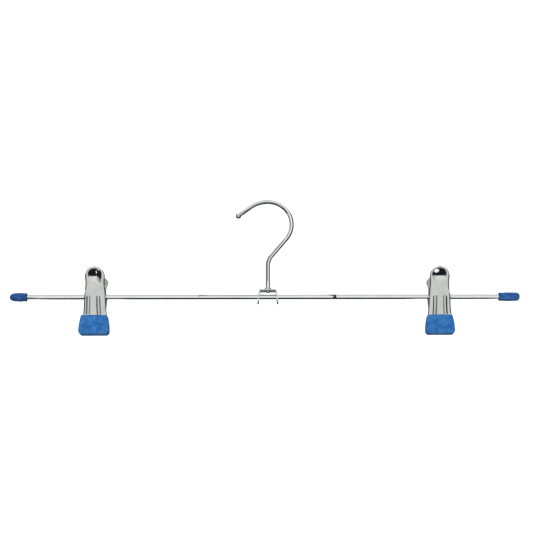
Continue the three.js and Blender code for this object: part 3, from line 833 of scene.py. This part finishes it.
# Clip springs
def make_spring(side, x):
    """One wire: up the front handle, round the bar and up the rear handle."""
    wire, coil, pitch, turns, leg, hub = 0.6, 3.1, 1.72, 5, 11.5, 0.3
    leg_steps, turn_steps = 18, 40
    inside = (KNEE_OUT - KNEE_RISE * math.tan(HANDLE_LEAN)) * math.cos(HANDLE_LEAN) - SHEET
    lean = HANDLE_LEAN + math.asin((inside - wire - CLEARANCE - coil) / leg)
    wrap = turns * 2 * math.pi + math.pi - 2 * lean
    half = wrap * pitch / (4 * math.pi)
    front_leg = Vector((0, -math.sin(lean), math.cos(lean))) * leg
    rear_leg = Vector((0, math.sin(lean), math.cos(lean))) * leg

    def at(turn):
        a = -lean - turn
        return Vector((-half + turn * pitch / (2 * math.pi), -coil * math.cos(a), coil * math.sin(a)))

    steps = round(wrap / (2 * math.pi) * turn_steps)
    points = [at(0) + front_leg * k / leg_steps for k in range(leg_steps, 0, -1)]
    points += [at(wrap * k / steps) for k in range(steps + 1)]
    points += [at(wrap) + rear_leg * k / leg_steps for k in range(1, leg_steps + 1)]
    verts, faces = tube(points, wire, sides=16)
    node = f"{side}_clip_spring"
    spring = put(node + "_wire", verts, faces, spring_plate, None, node, shift=x)
    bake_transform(spring)


make_hook()
make_bracket()
make_bar()
make_cap("left_end_cap", -BAR_LEFT, -1, length=14.1, nose=5.2, grip=10.4, square=0.95)
make_cap("right_end_cap", BAR_RIGHT, 1, length=17.0, nose=3.4, grip=13.7, square=0.85)
for side, x in CLIPS.items():
    front, rear, tip = f"{side}_clip_front", f"{side}_clip_rear", TIPS[side]
    make_leaf(f"{side}_front_leaf", CHEEK, x, front, False, PRESSINGS[side])
    make_leaf(f"{side}_rear_leaf", NESTED_CHEEK, x, rear, True, PRESSINGS[side])
    make_tip(f"{side}_front_jaw_tip", x, front, False, tip, tip.front_seed)
    make_tip(f"{side}_rear_jaw_tip", x, rear, True, tip, tip.rear_seed)
    make_spring(side, x)


# Studio: the corners of a card that lies level, stands sideways or faces the camera
def level(xs, ys, z):
    (a, b), (c, d) = xs, ys
    return [(a, c, z), (b, c, z), (b, d, z), (a, d, z)]


def sideways(x, ys, zs):
    (a, b), (c, d) = ys, zs
    return [(x, a, c), (x, b, c), (x, b, d), (x, a, d)]


def facing(xs, y, zs):
    (a, b), (c, d) = xs, zs
    return [(a, y, c), (b, y, c), (b, y, d), (a, y, d)]


def oval(centre, size, slant, z):
    """A level oval that slants to one side."""
    corners = []
    for k in range(24):
        x, y = math.cos(math.pi * k / 12) * size[0], math.sin(math.pi * k / 12) * size[1]
        corners.append((centre[0] + x, centre[1] + y + slant * x, z))
    return corners


def card(name, corners, material, hidden_from=()):
    mesh = bpy.data.meshes.new(name)
    mesh.from_pydata(corners, [], [tuple(range(len(corners)))])
    obj = bpy.data.objects.new(name, mesh)
    bpy.context.scene.collection.objects.link(obj)
    mesh.materials.append(material)
    for ray in hidden_from:
        setattr(obj, "visible_" + ray, False)


def pale_material(name, glow):
    """Pale paper that glows, so that it is white to the camera and one plain level in gloss."""
    paper, in_gloss = 0.75, 0.87
    material, nodes, links, surface = empty_material(name)
    diffuse = nodes.new("ShaderNodeBsdfDiffuse")
    diffuse.inputs["Color"].default_value = (*grey(paper), 1)
    camera_ray, mirrored = light_path(nodes, links)
    scaled = nodes.new("ShaderNodeMath")
    scaled.operation = "MULTIPLY"
    scaled.inputs[1].default_value = glow
    links.new(camera_ray, scaled.inputs[0])
    bright = nodes.new("ShaderNodeEmission")
    links.new(scaled.outputs[0], bright.inputs["Strength"])
    lit = nodes.new("ShaderNodeAddShader")
    links.new(diffuse.outputs[0], lit.inputs[0])
    links.new(bright.outputs[0], lit.inputs[1])
    plain = nodes.new("ShaderNodeEmission")
    plain.inputs["Color"].default_value = (*grey(in_gloss), 1)
    links.new(mixed(nodes, links, mirrored, lit.outputs[0], plain.outputs[0]), surface)
    return material


def glow_material(name, value, tint):
    material, nodes, links, surface = empty_material(name)
    emit = nodes.new("ShaderNodeEmission")
    emit.inputs["Color"].default_value = (*(t * value for t in tint), 1)
    links.new(emit.outputs[0], surface)
    return material


room_half, room_top, floor_z, wall_y = 5, 4, -0.46, 1.6
card(
    "floor", level((-room_half, room_half), (-room_half, wall_y), floor_z),
    pale_material("floor_paper", 0.25),
)
card(
    "backdrop", facing((-room_half, room_half), wall_y, (floor_z, room_top)),
    pale_material("backdrop_paper", 0.7),
)


# Flags and spots: small glowing cards that only show in the plating, as round bright metal needs; they
# light nothing and paint dark, grey and bright reflections into it
NEUTRAL, NAVY = (1, 1, 1), (0.8, 1, 1.5)
HIGHLIGHT_Z = -0.26


def flag(name, corners, value, tint=NEUTRAL):
    # A card that glows at one level and shows only in gloss: a painted reflection
    unseen = ("camera", "diffuse", "shadow", "transmission", "volume_scatter")
    card(name, corners, glow_material(name, value, tint), unseen)


# Near-black and grey cards: painted dark and grey reflections on the bar, hook, bracket and clips
flag("flag_below", level((-0.75, 0.75), (-0.15, 0.1), -0.28), 0.018, NAVY)
for number, xs in enumerate(((-0.2, -0.151), (-0.126, 0.126), (0.15, 0.2))):
    flag(f"flag_bar_{number}", level(xs, (0.02, 0.2), -0.14), 0.018, NAVY)
flag("flag_left", sideways(-0.24, (-0.15, 0.02), (-0.22, -0.068)), 0.015, NAVY)
flag("flag_right", sideways(0.24, (-0.145, 0.02), (-0.22, -0.068)), 0.015, NAVY)
flag("flag_inner_left", sideways(-0.055, (-0.005, 0.12), (-0.2, 0.03)), 0.03)
flag("flag_inner_right", sideways(0.055, (-0.04, 0.12), (-0.2, 0.03)), 0.03)
flag("flag_left_top", sideways(-0.42, (-0.36, 0.3), (0.03, 0.5)), 0.3)
flag("flag_right_top", sideways(0.42, (-0.16, 0.3), (0.03, 0.5)), 0.03, NAVY)
flag("flag_behind", facing((-0.55, 0.55), 0.5, (-0.26, 0.3)), 0.17)
flag("flag_hook", facing((-0.06, 0.008), -0.05, (-0.052, -0.003)), 0.3)
flag("flag_hook_low", facing((-0.014, 0.008), -0.02, (-0.028, -0.009)), 0.02)
# Bright cards set so that their mirror image lands in the thumb dishes: painted highlights
flag("painted_highlight_left", oval((-0.226, -0.098), (0.04, 0.008), -0.2, HIGHLIGHT_Z), 1.5)
flag("painted_highlight_right", oval((0.226, -0.103), (0.054, 0.011), 0.12, HIGHLIGHT_Z), 1.8)


def make_world():
    """White to the camera, mid grey to rough surfaces, and bands of light in bright metal."""
    world = bpy.data.worlds.new("studio")
    world.use_nodes = True
    bpy.context.scene.world = world
    nodes, links = world.node_tree.nodes, world.node_tree.links
    nodes.clear()
    coords = nodes.new("ShaderNodeTexCoord")
    split = nodes.new("ShaderNodeSeparateXYZ")
    links.new(coords.outputs["Generated"], split.inputs[0])
    height = nodes.new("ShaderNodeMapRange")
    height.inputs["From Min"].default_value = -1
    links.new(split.outputs["Z"], height.inputs["Value"])
    bands = ramp(nodes, links, height.outputs["Result"], [
        (0.565, grey(0.87)), (0.63, grey(1.02)), (0.74, grey(1.02)), (0.84, grey(0.62)),
    ])
    sky, room, white = (nodes.new("ShaderNodeBackground") for _ in range(3))
    links.new(bands, sky.inputs["Color"])
    room.inputs["Color"].default_value = (*grey(0.5), 1)
    white.inputs["Color"].default_value = (*grey(1), 1)
    camera_ray, mirrored = light_path(nodes, links)
    lit = mixed(nodes, links, mirrored, room.outputs[0], sky.outputs[0])
    seen = mixed(nodes, links, camera_ray, lit, white.outputs[0])
    links.new(seen, nodes.new("ShaderNodeOutputWorld").inputs["Surface"])


def softbox(name, at, size, power):
    """A soft lamp aimed at the hanger, which bright metal doesn't mirror."""
    aim = (0, 0, -0.08)
    light = bpy.data.lights.new(name, "AREA")
    light.shape = "RECTANGLE"
    light.size, light.size_y = size
    light.energy = power
    obj = bpy.data.objects.new(name, light)
    obj.location = at
    obj.rotation_euler = (Vector(aim) - Vector(at)).to_track_quat("-Z", "Y").to_euler()
    obj.visible_glossy = False
    bpy.context.scene.collection.objects.link(obj)


def make_camera():
    """A camera below the hanger that looks up at it, as the photograph does."""
    climb, roll, field = math.radians(17.5), math.radians(0.07), math.radians(26.9)
    distance, aside, lift, sensor = 0.9001, -0.0003, 0.02374, 36
    along = Vector((0, math.cos(climb), math.sin(climb)))
    upward = Vector((0, -math.sin(climb), math.cos(climb)))
    data = bpy.data.cameras.new("camera")
    data.sensor_width = sensor
    data.lens = sensor / (2 * math.tan(field / 2))
    data.clip_start, data.clip_end = 0.02, 30
    camera = bpy.data.objects.new("camera", data)
    camera.location = Vector((aside, 0, BAR_Z * MM)) - along * distance + upward * lift
    camera.rotation_euler = (Quaternion(along, roll) @ along.to_track_quat("-Z", "Y")).to_euler()
    bpy.context.scene.collection.objects.link(camera)
    bpy.context.scene.camera = camera


make_world()
softbox("key", at=(-0.9, -1.3, 0.7), size=(1.2, 1.2), power=15)
softbox("fill", at=(1.1, -1.2, 0.2), size=(1.0, 1.0), power=8)
make_camera()
bpy.context.scene.view_settings.view_transform = "Standard"
